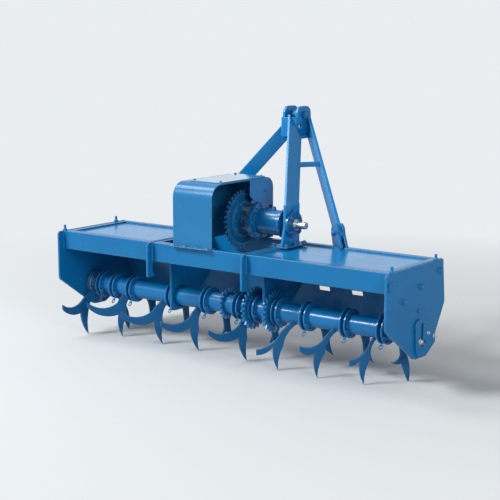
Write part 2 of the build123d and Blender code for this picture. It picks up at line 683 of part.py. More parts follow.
def far_blade(x, yaw, tip_out, tip_drop, bulge, hook_out, hook_drop):
    """A sickle on the far side that splits into a leg or spike, and a hook back under the tube."""
    root_high = (-0.2 * tube_radius, 0.7 * tube_radius)
    root_low = (0.3 * tube_radius, -0.4 * tube_radius)
    reach_high = (far_reach, -far_reach_drop)
    reach_low = (far_reach, -far_throat_drop)
    inside = far_reach - far_width
    tip = (tip_out, -tip_drop)
    hook_at = (hook_out, -hook_drop)
    crotch = (inside + far_width / 5, -far_crotch_drop)

    def between(start, end, out, up):
        return ((start[0] + end[0]) / 2 + out, (start[1] + end[1]) / 2 + up)

    return blade(upright_plane(x, 180 - yaw, 1), [
        ThreePointArc(root_high, (0.72 * far_reach, -0.2 * far_reach_drop), reach_high),
        Line(reach_high, reach_low),
        ThreePointArc(reach_low, between(reach_low, tip, bulge, 0), tip),
        ThreePointArc(tip, between(tip, crotch, -bulge / 4, 0), crotch),
        ThreePointArc(crotch, between(crotch, hook_at, 0, -0.15 * (crotch[0] - hook_out)), hook_at),
        ThreePointArc(hook_at, between(hook_at, (inside, reach_low[1]), 8, -0.2 * (inside - hook_out)),
                      (inside, reach_low[1])),
        ThreePointArc((inside, reach_low[1]), (0.8 * inside, -0.9 * far_reach_drop), root_low),
        Line(root_low, root_high),
    ])


def collar_pair(x):
    """Two rings round the tube, either side of a station."""
    return [disc(low_x, collar_thickness, collar_radius, rotor_y, rotor_z) - rotor_disc
            for low_x in (x - blade_thickness - collar_thickness, x + blade_thickness)]


def on_bay(bay, share):
    """A place along a bay, from its share of the bay's length."""
    bay_start, bay_end = bays[bay]
    return bay_start + share * (bay_end - bay_start)


# a far blade sits against its right collar, or between the collars where a hanger is too near
blade_seat = blade_thickness + collar_thickness + blade_thickness / 2
far_leg = (far_leg_out, rotor_z, leg_bulge)
for row in stations:
    bay, share, far_yaw, *fork = row
    x = on_bay(bay, share)
    standing = row in (stations[0], stations[-1])
    far_end = far_leg + far_leg_hook if standing else far_spike + far_spike_hook
    far_x = x if far_yaw == 90 else x + blade_seat
    keep("hook_tines_" + bay, near_blade(x - blade_setoff, *fork))
    keep("leg_tines_" + bay, far_blade(far_x, far_yaw, *far_end))
    keep("tine_collars_" + bay, *collar_pair(x))
for bay, share in bare_collars:
    keep("tine_collars_" + bay, *collar_pair(on_bay(bay, share)))

keep("rotor_sprocket", toothed_wheel(sprocket_teeth, disc_x, rotor_y, rotor_z, tube_radius, 0))
for offset in coupling_offsets:
    keep("toothed_coupling", toothed_wheel(coupling_teeth, hanger_right_x + offset, rotor_y, rotor_z,
                                           tube_radius, sprocket_rim))

# ---- export, centred in y ----
os.makedirs("parts", exist_ok=True)
for name, solids in parts.items():
    placed = [Pos(0, -origin_y, 0) * solid for solid in solids]
    shape = placed[0] if len(placed) == 1 else Compound(children=placed)
    export_step(shape, "parts/" + name + ".step")
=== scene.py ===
from math import cos, pi, radians, sin

import bmesh
import bpy
from mathutils import Matrix, Vector


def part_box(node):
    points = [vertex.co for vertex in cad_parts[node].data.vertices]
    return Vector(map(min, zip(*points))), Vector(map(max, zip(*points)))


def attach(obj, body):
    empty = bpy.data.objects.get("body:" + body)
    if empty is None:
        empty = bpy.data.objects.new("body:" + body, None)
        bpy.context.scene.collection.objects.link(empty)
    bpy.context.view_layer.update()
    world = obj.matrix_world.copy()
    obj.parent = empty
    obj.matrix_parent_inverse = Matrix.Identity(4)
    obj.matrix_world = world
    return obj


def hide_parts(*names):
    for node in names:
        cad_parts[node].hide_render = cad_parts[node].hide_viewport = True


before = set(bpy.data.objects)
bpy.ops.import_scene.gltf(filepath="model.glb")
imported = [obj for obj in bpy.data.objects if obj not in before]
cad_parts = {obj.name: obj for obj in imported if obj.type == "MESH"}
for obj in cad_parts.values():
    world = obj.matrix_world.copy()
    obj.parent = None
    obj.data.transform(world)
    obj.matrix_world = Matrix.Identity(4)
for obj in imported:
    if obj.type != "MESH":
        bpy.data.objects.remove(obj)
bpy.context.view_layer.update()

print("frame loaded:", len(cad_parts), "nodes")

scene = bpy.context.scene
scene.view_settings.view_transform = "Standard"

# camera
cameraSet = {
    "place": (3.750, -5.028, 1.610),
    "target": (0.1125, -0.205, 0.5585),
    "lens": 91.17,
    "sensor": 36.0,
    "clipStart": 0.1,
    "clipEnd": 200,
}


def makeCamera():
    data = bpy.data.cameras.new("camera")
    data.lens = cameraSet["lens"]
    data.sensor_width = cameraSet["sensor"]
    data.clip_start = cameraSet["clipStart"]
    data.clip_end = cameraSet["clipEnd"]
    camera = bpy.data.objects.new("camera", data)
    camera.location = cameraSet["place"]
    ahead = Vector(cameraSet["target"]) - Vector(cameraSet["place"])
    camera.rotation_euler = ahead.to_track_quat("-Z", "Y").to_euler()
    scene.collection.objects.link(camera)
    scene.camera = camera


makeCamera()
print("camera placed")

# node tree helpers


def addNode(tree, kind, values=None, **settings):
    made = tree.nodes.new(kind)
    for key, value in settings.items():
        setattr(made, key, value)
    for key, value in (values or {}).items():
        made.inputs[key].default_value = value
    return made


def wire(tree, source, target):
    tree.links.new(source, target)


def mixColours(tree, share, first, second, blend="MIX"):
    mix = addNode(tree, "ShaderNodeMix", data_type="RGBA", blend_type=blend)
    for socket, value in ((0, share), (6, first), (7, second)):
        if isinstance(value, bpy.types.NodeSocket):
            wire(tree, value, mix.inputs[socket])
        else:
            mix.inputs[socket].default_value = value
    return mix.outputs[2]


def mapValue(tree, source, fromLow, fromHigh, toLow, toHigh):
    mapped = addNode(tree, "ShaderNodeMapRange", {1: fromLow, 2: fromHigh, 3: toLow, 4: toHigh})
    wire(tree, source, mapped.inputs[0])
    return mapped.outputs[0]


def noiseOn(tree, place, scale, detail, roughness):
    noise = addNode(tree, "ShaderNodeTexNoise",
                    {"Scale": scale, "Detail": detail, "Roughness": roughness})
    wire(tree, place, noise.inputs["Vector"])
    return noise.outputs["Fac"]


def roundedNormal(tree, radius):
    return addNode(tree, "ShaderNodeBevel", {"Radius": radius}, samples=6).outputs[0]


def edgeMask(tree, rounded, low, high):
    # 1 on outer edges and corners, 0 on flats
    geometry = addNode(tree, "ShaderNodeNewGeometry")
    dot = addNode(tree, "ShaderNodeVectorMath", operation="DOT_PRODUCT")
    wire(tree, rounded, dot.inputs[0])
    wire(tree, geometry.outputs["Normal"], dot.inputs[1])
    return mapValue(tree, dot.outputs["Value"], low, high, 1.0, 0.0)


def newMaterial(name):
    material = bpy.data.materials.new(name)
    material.use_nodes = True
    tree = material.node_tree
    shader = tree.nodes["Principled BSDF"]
    place = addNode(tree, "ShaderNodeTexCoord").outputs["Object"]
    return material, tree, shader, place


# blue paint: colour, gloss, orange peel, grain of a casting, painted highlight on the edges and
# clear coat
blueFinishes = {
    "platePaint": {"colour": (0.003, 0.145, 0.365), "roughness": 0.34, "peel": 0.10, "cast": 0.0,
                   "edgeHighlight": 0.85, "coat": 0.06},
    # painted light: a lighter copy of the blue for the pans, whose top faces catch the overhead
    # light
    "panPaintLit": {"colour": (0.007, 0.200, 0.470), "roughness": 0.22, "peel": 0.045, "cast": 0.0,
                 "edgeHighlight": 0.20, "coat": 0.35},
    "deckPaint": {"colour": (0.003, 0.135, 0.330), "roughness": 0.30, "peel": 0.12, "cast": 0.0,
                  "edgeHighlight": 0.85, "coat": 0.20},
    "guardPaint": {"colour": (0.012, 0.150, 0.340), "roughness": 0.27, "peel": 0.08, "cast": 0.0,
                   "edgeHighlight": 0.85, "coat": 0.30},
    "discPaint": {"colour": (0.002, 0.120, 0.300), "roughness": 0.26, "peel": 0.04, "cast": 0.15,
                  "edgeHighlight": 0.85, "coat": 0.40},
    # painted reflection: a much lighter copy of the blue for the guard's lid, standing in for the
    # bright backdrop it mirrors; its gloss and coat are real
    "lidPaintHighlit": {"colour": (0.060, 0.260, 0.500), "roughness": 0.12, "peel": 0.03, "cast": 0.0,
                 "edgeHighlight": 0.85, "coat": 1.0},
    # painted light: a lighter copy of the blue for the mast, clevis, struts and cheek, for the light
    # on their faces
    "mastPaintLightened": {"colour": (0.004, 0.190, 0.470), "roughness": 0.30, "peel": 0.06, "cast": 0.0,
                  "edgeHighlight": 0.85, "coat": 0.25},
    # painted highlight: a lighter copy of the blue for the weld beads, for the light their round
    # tops catch
    "seamPaintHighlit": {"colour": (0.020, 0.200, 0.430), "roughness": 0.24, "peel": 0.04, "cast": 0.1,
                  "edgeHighlight": 0.50, "coat": 0.35},
    "castPaint": {"colour": (0.002, 0.115, 0.305), "roughness": 0.26, "peel": 0.04, "cast": 0.12,
                  "edgeHighlight": 0.50, "coat": 0.50},
    "rotorPaint": {"colour": (0.003, 0.145, 0.370), "roughness": 0.33, "peel": 0.05, "cast": 0.06,
                   "edgeHighlight": 0.60, "coat": 0.30},
    "tinePaint": {"colour": (0.003, 0.100, 0.255), "roughness": 0.38, "peel": 0.06, "cast": 0.30,
                  "edgeHighlight": 0.85, "coat": 0.15},
}
# what all the blue finishes share; a noise is its scale, detail and roughness
paintLook = {
    "specular": 0.14,
    "coatRoughness": 0.12,
    "deepShares": (0.75, 0.88, 0.92),
    # painted edge highlight: its lighter colour as shares of the paint colour plus a lift
    "highlightShares": (1.0, 1.70, 1.35),
    "highlightLift": (0.10, 0.05, 0.07),
    "patches": (3.5, 4.0, 0.5),
    "patchRange": (0.35, 0.65),
    "edgeRadius": 0.0075,
    "edgeRange": (0.80, 0.99),
    # noise that breaks the painted edge highlight into patches, its range, and the least highlight
    # share it leaves
    "highlightBreakup": (46.0, 5.0, 0.65),
    "highlightBreakupRange": (0.34, 0.58),
    "leastHighlight": 0.15,
    "smears": (11.0, 5.0, 0.6),
    "smearRange": (0.3, 0.7),
    "glossier": 0.05,
    "duller": 0.07,
    "peel": (260.0, 2.0, 0.5),
    "peelDepth": 0.0006,
    "grain": (120.0, 4.0, 0.6),
    "grainDepth": 0.0012,
}


def shadeOf(colour, shares, lift=(0.0, 0.0, 0.0)):
    return tuple(part * share + more for part, share, more in zip(colour, shares, lift)) + (1,)


def bluePaint(name):
    look = blueFinishes[name]
    material, tree, shader, place = newMaterial(name)
    base = look["colour"] + (1,)
    deep = shadeOf(look["colour"], paintLook["deepShares"])
    edgeHighlightColour = shadeOf(look["colour"], paintLook["highlightShares"], paintLook["highlightLift"])
    patches = noiseOn(tree, place, *paintLook["patches"])
    share = mapValue(tree, patches, *paintLook["patchRange"], 0.0, 1.0)
    colour = mixColours(tree, share, deep, base)
    # painted highlight along the edges: a lighter copy of the paint colour, broken into patches by
    # noise
    rounded = roundedNormal(tree, paintLook["edgeRadius"])
    edges = edgeMask(tree, rounded, *paintLook["edgeRange"])
    highlightBreakup = noiseOn(tree, place, *paintLook["highlightBreakup"])
    highlightAmount = mapValue(tree, highlightBreakup, *paintLook["highlightBreakupRange"], paintLook["leastHighlight"], look["edgeHighlight"])
    edgeHighlightMask = addNode(tree, "ShaderNodeMath", operation="MULTIPLY")
    wire(tree, edges, edgeHighlightMask.inputs[0])
    wire(tree, highlightAmount, edgeHighlightMask.inputs[1])
    colour = mixColours(tree, edgeHighlightMask.outputs[0], colour, edgeHighlightColour)
    wire(tree, colour, shader.inputs["Base Color"])
    smears = noiseOn(tree, place, *paintLook["smears"])
    rough = mapValue(tree, smears, *paintLook["smearRange"],
                     look["roughness"] - paintLook["glossier"],
                     look["roughness"] + paintLook["duller"])
    wire(tree, rough, shader.inputs["Roughness"])
    # orange peel, and the grain of a casting under it
    peel = addNode(tree, "ShaderNodeBump",
                   {"Strength": look["peel"], "Distance": paintLook["peelDepth"]})
    wire(tree, noiseOn(tree, place, *paintLook["peel"]), peel.inputs["Height"])
    wire(tree, rounded, peel.inputs["Normal"])
    grain = addNode(tree, "ShaderNodeBump",
                    {"Strength": look["cast"], "Distance": paintLook["grainDepth"]})
    wire(tree, noiseOn(tree, place, *paintLook["grain"]), grain.inputs["Height"])
    wire(tree, peel.outputs[0], grain.inputs["Normal"])
    wire(tree, grain.outputs[0], shader.inputs["Normal"])
    shader.inputs["Specular IOR Level"].default_value = paintLook["specular"]
    shader.inputs["Coat Weight"].default_value = look["coat"]
    shader.inputs["Coat Roughness"].default_value = paintLook["coatRoughness"]
    return material


# bare steel: colour, gloss, scale of the turning marks (0 for none) and dirt
steelFinishes = {
    "turnedSteel": {"colour": (0.56, 0.57, 0.58), "roughness": 0.28, "rings": 900.0, "dirt": 0.25},
    "zincSteel": {"colour": (0.60, 0.61, 0.60), "roughness": 0.36, "rings": 0.0, "dirt": 0.30},
}
steelLook = {
    "edgeRadius": 0.0015,
    "dullShares": (0.55, 0.54, 0.52),
    "stains": (60.0, 5.0, 0.6),
    "stainRange": (0.45, 0.75),
    "fine": (140.0, 4.0, 0.5),
    "fineRange": (0.3, 0.7),
    "glossier": 0.08,
    "duller": 0.10,
    "bumpStrength": 0.25,
    "bumpDepth": 0.0003,
    "ringWaver": 0.4,
}


def bareSteel(name):
    look = steelFinishes[name]
    material, tree, shader, place = newMaterial(name)
    clean = look["colour"] + (1,)
    dull = shadeOf(look["colour"], steelLook["dullShares"])
    spots = noiseOn(tree, place, *steelLook["stains"])
    stain = mapValue(tree, spots, *steelLook["stainRange"], 0.0, look["dirt"])
    wire(tree, mixColours(tree, stain, clean, dull), shader.inputs["Base Color"])
    shader.inputs["Metallic"].default_value = 1.0
    fine = noiseOn(tree, place, *steelLook["fine"])
    rough = mapValue(tree, fine, *steelLook["fineRange"],
                     look["roughness"] - steelLook["glossier"],
                     look["roughness"] + steelLook["duller"])
    wire(tree, rough, shader.inputs["Roughness"])
    bump = addNode(tree, "ShaderNodeBump",
                   {"Strength": steelLook["bumpStrength"], "Distance": steelLook["bumpDepth"]})
    if look["rings"]:
        # fine turning marks along the shaft
        marks = addNode(tree, "ShaderNodeTexWave",
                        {"Scale": look["rings"], "Distortion": steelLook["ringWaver"]})
        wire(tree, place, marks.inputs["Vector"])
        wire(tree, marks.outputs["Fac"], bump.inputs["Height"])
    else:
        wire(tree, fine, bump.inputs["Height"])
    wire(tree, roundedNormal(tree, steelLook["edgeRadius"]), bump.inputs["Normal"])
    wire(tree, bump.outputs[0], shader.inputs["Normal"])
    return material


# all finishes by name
finishes = {name: bluePaint(name) for name in blueFinishes}
finishes.update({name: bareSteel(name) for name in steelFinishes})

# which finish each node wears; the rest are platePaint
nodeFinishes = {
    "panPaintLit": ("pan_left", "pan_right"),
    "deckPaint": ("near_beam", "far_rail", "deck_rails"),
    "guardPaint": ("hood", "hood_left_wall"),
    "lidPaintHighlit": ("hood_top_plate",),
    "mastPaintLightened": ("mast_plate", "hood_cheek", "mast_brace", "strut_left", "strut_right", "mast_tie",
                  "clevis_plates", "clevis_floor", "clevis_bridge"),
    "castPaint": ("shaft_housing", "shaft_bearing_flange", "rotor_bearings"),
    "discPaint": ("drive_disc",),
    "rotorPaint": ("rotor_tube", "rotor_sprocket", "toothed_coupling", "tine_collars_left",
                   "tine_collars_middle", "tine_collars_right"),
    "tinePaint": ("leg_tines_left", "leg_tines_middle", "leg_tines_right", "hook_tines_left",
                  "hook_tines_middle", "hook_tines_right"),
    "turnedSteel": ("input_shaft",),
    "zincSteel": ("hitch_pins", "stub_axles"),
}
finishOf = {node: finish for finish, nodes in nodeFinishes.items() for node in nodes}
for name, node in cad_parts.items():
    node.data.materials.clear()
    node.data.materials.append(finishes[finishOf.get(name, "platePaint")])
print("finishes made:", len(finishes))

# shared makers for the fittings: each shape is made by itself and then joined to the piece
sink = 0.0005  # how deep a bolt's foot sits in its face
plateEase = 0.001  # how far the small plates' edges are eased
weldStep = 0.7  # from drop to drop in a seam, in shares of its width
smoothBelow = 32  # edges that turn by less, in degrees, are shaded smooth


def joinShape(bm, shape):
    mesh = bpy.data.meshes.new("shape")
    shape.to_mesh(mesh)
    shape.free()
    bm.from_mesh(mesh)
    bpy.data.meshes.remove(mesh)


def easeEdges(shape, edges, width):
    bmesh.ops.bevel(shape, geom=edges, offset=width, offset_type="OFFSET", affect="EDGES",
                    segments=2, profile=0.5, material=-1, clamp_overlap=True)


def addRod(bm, base, along, radius, length, sides, bevel):
    # a closed rod, hexagon or washer from base along a direction, its far rim bevelled
    shape = bmesh.new()
    axis = Vector(along).normalized()
    turn = axis.to_track_quat("Z", "Y").to_matrix().to_4x4()
    middle = Vector(base) + axis * (length / 2)
    bmesh.ops.create_cone(shape, cap_ends=True, segments=sides, radius1=radius, radius2=radius,
                          depth=length, matrix=Matrix.Translation(middle) @ turn)
    rim = [edge for edge in shape.edges
           if all((vert.co - middle).dot(axis) > 0.4 * length for vert in edge.verts)]
    easeEdges(shape, rim, bevel)
    joinShape(bm, shape)


# a bolt's steps in shares of its size: start, radius, height, sides and eased rim
boltSteps = {
    "washer": (0.0, 1.15, 0.25, 24, 0.05),
    "head": (0.2, 0.98, 0.75, 6, 0.12),
    "thread": (0.9, 0.48, 0.38, 16, 0.10),
}


def addBolt(bm, place, along, size):
    axis = Vector(along).normalized()
    foot = Vector(place) - axis * sink
    for start, radius, height, sides, rim in boltSteps.values():
        addRod(bm, foot + axis * size * start, axis, size * radius, size * height, sides, size * rim)


def addStud(bm, place, size, height):
    # an upright pin with a nut at its foot and a rounded top
    foot = Vector(place) - Vector((0, 0, sink))
    addRod(bm, foot, (0, 0, 1), size * 0.95, size * 0.7, 6, size * 0.12)
    addRod(bm, foot, (0, 0, 1), size * 0.5, height, 16, size * 0.2)


def addRing(bm, centre, axis, radius, wire, steps=28, sides=8):
    # a closed ring of round wire, spun about its axis
    shape = bmesh.new()
    axis = Vector(axis).normalized()
    side = axis.orthogonal().normalized()
    turn = Matrix((side, axis.cross(side), axis)).transposed().to_4x4()
    upright = Matrix.Rotation(pi / 2, 4, "X")
    place = Matrix.Translation(Vector(centre) + side * radius) @ turn @ upright
    bmesh.ops.create_circle(shape, cap_ends=False, segments=sides, radius=wire, matrix=place)
    bmesh.ops.spin(shape, geom=shape.verts[:] + shape.edges[:], cent=Vector(centre), axis=axis,
                   dvec=(0, 0, 0), angle=2 * pi, steps=steps, use_merge=True, use_duplicate=False)
    joinShape(bm, shape)


def addPlate(bm, low, high):
    # a small flat plate or block with eased edges
    shape = bmesh.new()
    low, high = Vector(low), Vector(high)
    size = Matrix.Diagonal((high - low).to_4d())
    size[3][3] = 1.0
    bmesh.ops.create_cube(shape, size=1.0, matrix=Matrix.Translation((low + high) / 2) @ size)
    easeEdges(shape, shape.edges[:], plateEase)
    joinShape(bm, shape)


def addWeld(bm, start, end, width):
    # a seam of overlapping drops between two points
    shape = bmesh.new()
    start, end = Vector(start), Vector(end)
    count = max(2, round((end - start).length / (width * weldStep)))
    step = (end - start) / count
    bmesh.ops.create_uvsphere(shape, u_segments=6, v_segments=4, radius=width / 2,
                              matrix=Matrix.Translation(start + step / 2))
    bmesh.ops.spin(shape, geom=shape.verts[:] + shape.edges[:] + shape.faces[:], cent=start,
                   axis=(0, 0, 1), dvec=step, angle=0, steps=count - 1, use_merge=False,
                   use_duplicate=True)
    joinShape(bm, shape)


def addRoundWeld(bm, centre, radius, width):
    # the same seam round a shaft whose axis runs along x
    shape = bmesh.new()
    count = round(2 * pi * radius / (width * weldStep))
    place = Matrix.Translation(Vector(centre) + Vector((0, radius, 0)))
    bmesh.ops.create_uvsphere(shape, u_segments=6, v_segments=4, radius=width / 2, matrix=place)
    bmesh.ops.spin(shape, geom=shape.verts[:] + shape.edges[:] + shape.faces[:],
                   cent=Vector(centre), axis=(1, 0, 0), dvec=(0, 0, 0),
                   angle=2 * pi * (count - 1) / count, steps=count - 1, use_merge=False,
                   use_duplicate=True)
    joinShape(bm, shape)


def newPiece(name, bm, body, finish):
    bmesh.ops.recalc_face_normals(bm, faces=bm.faces)
    mesh = bpy.data.meshes.new(name)
    bm.to_mesh(mesh)
    bm.free()
    for polygon in mesh.polygons:
        polygon.use_smooth = True
    mesh.set_sharp_from_angle(angle=radians(smoothBelow))
    mesh.materials.append(finishes[finish])
    piece = bpy.data.objects.new(name, mesh)
    scene.collection.objects.link(piece)
    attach(piece, body)
    return piece


# where the frame's own pieces lie
boxOf = {name: tuple(Vector(corner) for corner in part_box(name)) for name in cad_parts}
plateLow, plateHigh = boxOf["end_plate_right"]
panLow, panHigh = boxOf["pan_left"]
beamLow, beamHigh = boxOf["near_beam"]
tubeLow, tubeHigh = boxOf["rotor_tube"]
innerX, outerX = plateLow.x, plateHigh.x
nearY, deckZ = plateLow.y, plateHigh.z
bayEnds = [(-innerX, boxOf["hanger_left"][0].x),
           (boxOf["hanger_left"][1].x, boxOf["hanger_right"][0].x),
           (boxOf["hanger_right"][1].x, innerX)]
rotorY = (tubeLow.y + tubeHigh.y) / 2
rotorZ = (tubeLow.z + tubeHigh.z) / 2
tubeRadius = (tubeHigh.z - tubeLow.z) / 2

# fittings of the end plates; bolts say how far behind the near edge and below the deck, and size
endFittings = {
    "bolts": [(0.476, 0.052, 0.013), (0.302, 0.100, 0.013), (0.151, 0.146, 0.013),
              (0.287, 0.209, 0.009)],
    "studBacks": (0.443, 0.051),
    "studInset": 0.005,
    "studSize": 0.013,
    "studHeight": 0.030,
    "tabBacks": (0.018, 0.050),
    "tabDrops": (0.082, 0.040),
    "tabThickness": 0.006,
    "tabSink": 0.002,
    "tabBolt": (0.034, 0.061, 0.009),
}


def makeEndFittings():
    bm = bmesh.new()
    look = endFittings
    for side in (-1, 1):
        for back, drop, size in look["bolts"]:
            addBolt(bm, (side * outerX, nearY + back, deckZ - drop), (side, 0, 0), size)
        for back in look["studBacks"]:
            place = (side * (outerX - look["studInset"]), nearY + back, deckZ)
            addStud(bm, place, look["studSize"], look["studHeight"])
        # a folded tab with its bolt at the near edge
        xs = sorted((side * (outerX - look["tabSink"]), side * (outerX + look["tabThickness"])))
        ys = [nearY + back for back in look["tabBacks"]]
        zs = [deckZ - drop for drop in look["tabDrops"]]
        addPlate(bm, (xs[0], ys[0], zs[0]), (xs[1], ys[1], zs[1]))
        back, drop, size = look["tabBolt"]
        place = (side * (outerX + look["tabThickness"]), nearY + back, deckZ - drop)
        addBolt(bm, place, (side, 0, 0), size)
    newPiece("endPlateBolts", bm, "frame", "platePaint")


# skid plates: bolts as above, and a latch pin with a pull ring
skidFittings = {
    "bolts": [(0.416, 0.348, 0.010), (0.287, 0.351, 0.012), (0.359, 0.323, 0.008)],
    "latchPlace": (0.315, 0.370),
    "latchOut": 0.003,
    "latchRadius": 0.010,
    "latchLength": 0.014,
    "latchEase": 0.002,
    "ringOut": 0.012,
    "ringRise": 0.014,
    "ringRadius": 0.013,
    "ringWire": 0.0028,
}


def makeSkidFittings():
    look = skidFittings
    bm = bmesh.new()
    skidX = boxOf["skid_plates"][1].x
    for side in (-1, 1):
        for back, drop, size in look["bolts"]:
            addBolt(bm, (side * skidX, nearY + back, deckZ - drop), (side, 0, 0), size)
    newPiece("skidBolts", bm, "frame", "zincSteel")
    bm = bmesh.new()
    back, drop = look["latchPlace"]
    for side in (-1, 1):
        centre = Vector((side * (outerX + look["latchOut"]), nearY + back, deckZ - drop))
        addRod(bm, centre, (side, 0, 0), look["latchRadius"], look["latchLength"], 20,
               look["latchEase"])
        eye = centre + Vector((side * look["ringOut"], 0, look["ringRise"]))
        addRing(bm, eye, (1, 0, 0), look["ringRadius"], look["ringWire"])
    newPiece("skidLatches", bm, "frame", "castPaint")


# welds along the deck's joints
deckWelds = {
    "width": 0.006,
    "rimWidth": 0.0045,
    "railDepth": 0.032,
    "belowPan": 0.06,
    "outerRail": 0.040,
    "innerRail": 0.026,
}


def makeDeckWelds():
    bm = bmesh.new()
    look = deckWelds
    wide, fine = look["width"], look["rimWidth"]
    beamY, farY = beamLow.y, panHigh.y + look["railDepth"]
    for index, (x0, x1) in enumerate(bayEnds):
        for x in (x0, x1):
            addWeld(bm, (x, beamY, beamLow.z), (x, beamY, deckZ), wide)
            addWeld(bm, (x, beamY, deckZ), (x, farY, deckZ), fine)
            addWeld(bm, (x, farY, panLow.z - look["belowPan"]), (x, farY, deckZ), wide)
        if index != 1:
            # round the pan's recess
            low = x0 + (look["outerRail"] if index == 0 else look["innerRail"])
            high = x1 - (look["outerRail"] if index == 2 else look["innerRail"])
            for y in (beamHigh.y, panHigh.y):
                addWeld(bm, (low, y, panHigh.z), (high, y, panHigh.z), fine)
            for x in (low, high):
                addWeld(bm, (x, beamHigh.y, panHigh.z), (x, panHigh.y, panHigh.z), fine)
    # the deck's beads wear the lighter seam paint, a painted highlight
    newPiece("deckWelds", bm, "frame", "seamPaintHighlit")


# guard: bolts along its feet, in its lid's corners and on its cheek, a foot strip and two seams
guardFittings = {
    "footShares": (0.06, 0.36, 0.66, 0.94),
    "footSize": 0.008,
    "nearFootOut": 0.016,
    "farFootIn": 0.060,
    "farFootRise": 0.005,
    "stripReach": 0.030,
    "stripTop": 0.0035,
    "stripLap": 0.001,
    "lidInset": (0.014, 0.016),
    "lidSize": 0.006,
    "cheekBolts": [(0.170, 0.112, 0.012), (0.124, 0.122, 0.012), (0.060, 0.060, 0.007)],
    "seamWidth": 0.005,
    "seamRise": 0.004,
}


def makeGuardFittings():
    bm = bmesh.new()
    look = guardFittings
    low, high = boxOf["hood"]
    for share in look["footShares"]:
        x = low.x + share * (high.x - low.x)
        addBolt(bm, (x, low.y - look["nearFootOut"], deckZ), (0, 0, 1), look["footSize"])
        addBolt(bm, (x, high.y - look["farFootIn"], deckZ + look["farFootRise"]), (0, 0, 1),
                look["footSize"])
    addPlate(bm, (low.x, low.y - look["stripReach"], deckZ - sink),
             (high.x, low.y + look["stripLap"], deckZ + look["stripTop"]))
    lidLow, lidHigh = boxOf["hood_top_plate"]
    insetX, insetY = look["lidInset"]
    for x in (lidLow.x + insetX, lidHigh.x - insetX):
        for y in (lidLow.y + insetY, lidHigh.y - insetY):
            addBolt(bm, (x, y, lidHigh.z), (0, 0, 1), look["lidSize"])
    cheekHigh = boxOf["hood_cheek"][1]
    for inset, drop, size in look["cheekBolts"]:
        addBolt(bm, (cheekHigh.x, cheekHigh.y - inset, cheekHigh.z - drop), (1, 0, 0), size)
    seamZ = deckZ + look["seamRise"]
    for y in (low.y, high.y):
        addWeld(bm, (low.x, y, seamZ), (high.x, y, seamZ), look["seamWidth"])
    newPiece("guardFittings", bm, "frame", "guardPaint")


# shaft housing, bearing flange and base plate: bolt circles, welds, a sight plug and a nipple
shaftFittings = {
    "flangeBolts": 8,
    "flangeReach": 0.078,
    "flangeSize": 0.009,
    "flangeDepth": 0.024,
    "bearingBolts": 4,
    "bearingReach": 0.050,
    "bearingSize": 0.010,
    "housingWeld": 0.063,
    "neckWeld": 0.042,
    "weldWidth": 0.006,
    "baseInset": 0.016,
    "baseFarShare": 0.6,
    "baseSize": 0.012,
    "mastWeld": 0.007,
    "nippleIn": 0.007,
}
# steps of the plug on the housing and of the nipple on the bearing flange: rise above the
# shaft, radius, height, sides and eased rim
plugSteps = {"plug": (0.060, 0.013, 0.010, 20, 0.002), "plugHead": (0.069, 0.010, 0.010, 6, 0.0015)}
nippleSteps = {"body": (0.063, 0.005, 0.009, 6, 0.001), "tip": (0.070, 0.003, 0.008, 12, 0.001)}


def makeShaftFittings():
    bm = bmesh.new()
    look = shaftFittings
    shaftLow, shaftHigh = boxOf["input_shaft"]
    shaftY = (shaftLow.y + shaftHigh.y) / 2
    shaftZ = (shaftLow.z + shaftHigh.z) / 2
    housingLow, housingHigh = boxOf["shaft_housing"]
    bearingLow, bearingHigh = boxOf["shaft_bearing_flange"]
    flangeX = housingLow.x + look["flangeDepth"]

    def boltCircle(x, along, count, reach, size, start=0.0):
        for index in range(count):
            turn = start + 2 * pi * index / count
            place = (x, shaftY + reach * cos(turn), shaftZ + reach * sin(turn))
            addBolt(bm, place, (along, 0, 0), size)

    for x, along in ((housingLow.x, -1), (flangeX, 1)):
        boltCircle(x, along, look["flangeBolts"], look["flangeReach"], look["flangeSize"])
    boltCircle(bearingHigh.x, 1, look["bearingBolts"], look["bearingReach"], look["bearingSize"],
               pi / 4)
    addRoundWeld(bm, (flangeX, shaftY, shaftZ), look["housingWeld"], look["weldWidth"])
    addRoundWeld(bm, (housingHigh.x, shaftY, shaftZ), look["neckWeld"], look["weldWidth"])
    baseLow, baseHigh = boxOf["mast_base_plate"]
    inset = look["baseInset"]
    for x in (baseLow.x + inset, baseHigh.x - inset * look["baseFarShare"]):
        for y in (baseLow.y + inset, (baseLow.y + baseHigh.y) / 2, baseHigh.y - inset):
            addBolt(bm, (x, y, baseHigh.z), (0, 0, 1), look["baseSize"])
    mastLow, mastHigh = boxOf["mast_plate"]
    for x in (mastLow.x, mastHigh.x):
        addWeld(bm, (x, mastLow.y, baseHigh.z), (x, mastHigh.y, baseHigh.z), look["mastWeld"])
    for x, steps in (((housingLow.x + housingHigh.x) / 2, plugSteps),
                     (bearingLow.x + look["nippleIn"], nippleSteps)):
        for rise, radius, height, sides, rim in steps.values():
            addRod(bm, (x, shaftY, shaftZ + rise), (0, 0, 1), radius, height, sides, rim)
    newPiece("shaftFittings", bm, "frame", "castPaint")


# mast head: nuts on the top link bolt, doublers with two bolts on the clevis, and welds
mastFittings = {
    "nutRadius": 0.0189,
    "nutHeight": 0.006,
    "nutLap": 0.001,
    "endRadius": 0.0125,
    "endLength": 0.014,
    "ease": 0.002,
    "doubler": (0.034, 0.046),
    "doublerThickness": 0.008,
    "doublerLap": 0.001,
    "doublerIn": 0.034,
    "doublerRise": 0.040,
    "boltRises": (-0.010, 0.012),
    "boltSize": 0.0063,
    "weld": 0.006,
    "weldInset": 0.002,
}


